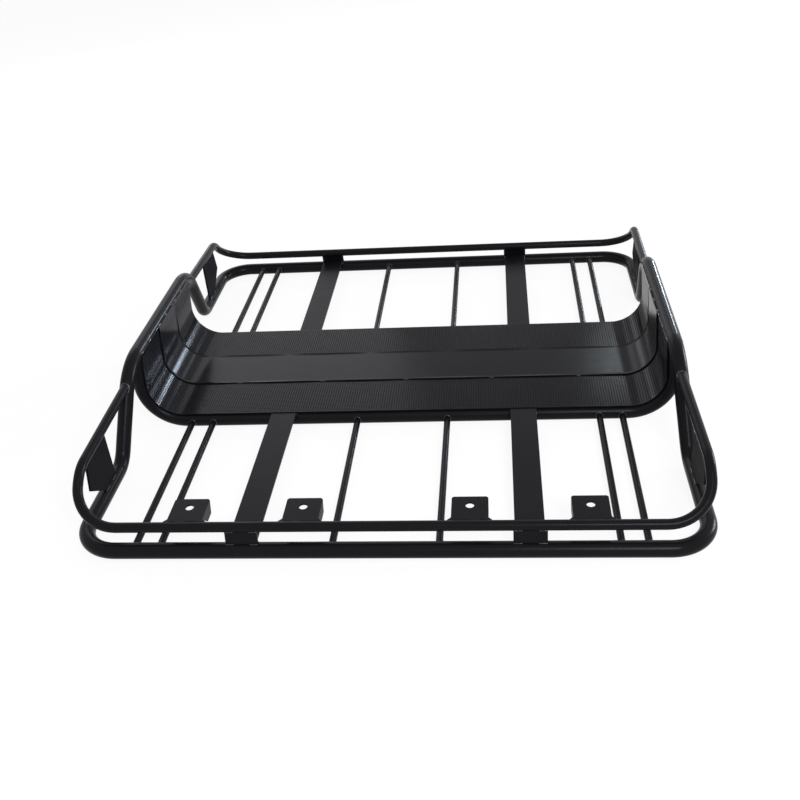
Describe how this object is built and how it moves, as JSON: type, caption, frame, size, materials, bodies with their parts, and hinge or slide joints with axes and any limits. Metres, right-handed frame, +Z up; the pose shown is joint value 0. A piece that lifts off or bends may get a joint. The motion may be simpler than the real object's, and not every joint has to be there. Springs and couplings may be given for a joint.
{
  "type": "roof cargo cage",
  "caption": "Open roof tray of bent round tube with raised sides, a sheet cradle across the middle, slats to both ends, swept upper rails and small lamp brackets.",
  "frame": {"origin": "on the ground under the middle of the tray", "axes": "+X to the rack's right side, +Y to its rear, +Z up; the lamp brackets are on the front rail at -Y"},
  "size_m": [1.047, 1.107, 0.176],
  "materials": {
    "frame": "satin black powder coat",
    "cradle_sheet": "satin black powder coat"
  },
  "bodies": {
    "root": {"base_tube_front": "frame", "base_tube_rear": "frame", "side_tube_left": "frame", "side_tube_right": "frame", "upper_rail_front": "frame", "upper_rail_rear": "frame", "cradle_tube_front": "frame", "cradle_tube_rear": "frame", "cradle_mesh_front": "cradle_sheet", "cradle_floor_middle": "cradle_sheet", "cradle_mesh_rear": "cradle_sheet", "flat_slat_left": "frame", "flat_slat_right": "frame", "front_rod_1": "frame", "front_rod_2": "frame", "front_rod_3": "frame", "front_rod_4": "frame", "front_rod_5": "frame", "front_rod_6": "frame", "rear_rod_1": "frame", "rear_rod_2": "frame", "rear_rod_3": "frame", "rear_rod_4": "frame", "rear_rod_5": "frame", "rear_rod_6": "frame", "end_plate_front_left": "frame", "end_plate_front_right": "frame", "end_plate_rear_left": "frame", "end_plate_rear_right": "frame", "side_plate_front_left": "frame", "side_plate_front_right": "frame", "side_plate_rear_left": "frame", "side_plate_rear_right": "frame", "light_bracket_1": "frame", "light_bracket_2": "frame", "light_bracket_3": "frame", "light_bracket_4": "frame"}
  },
  "joints": []
}
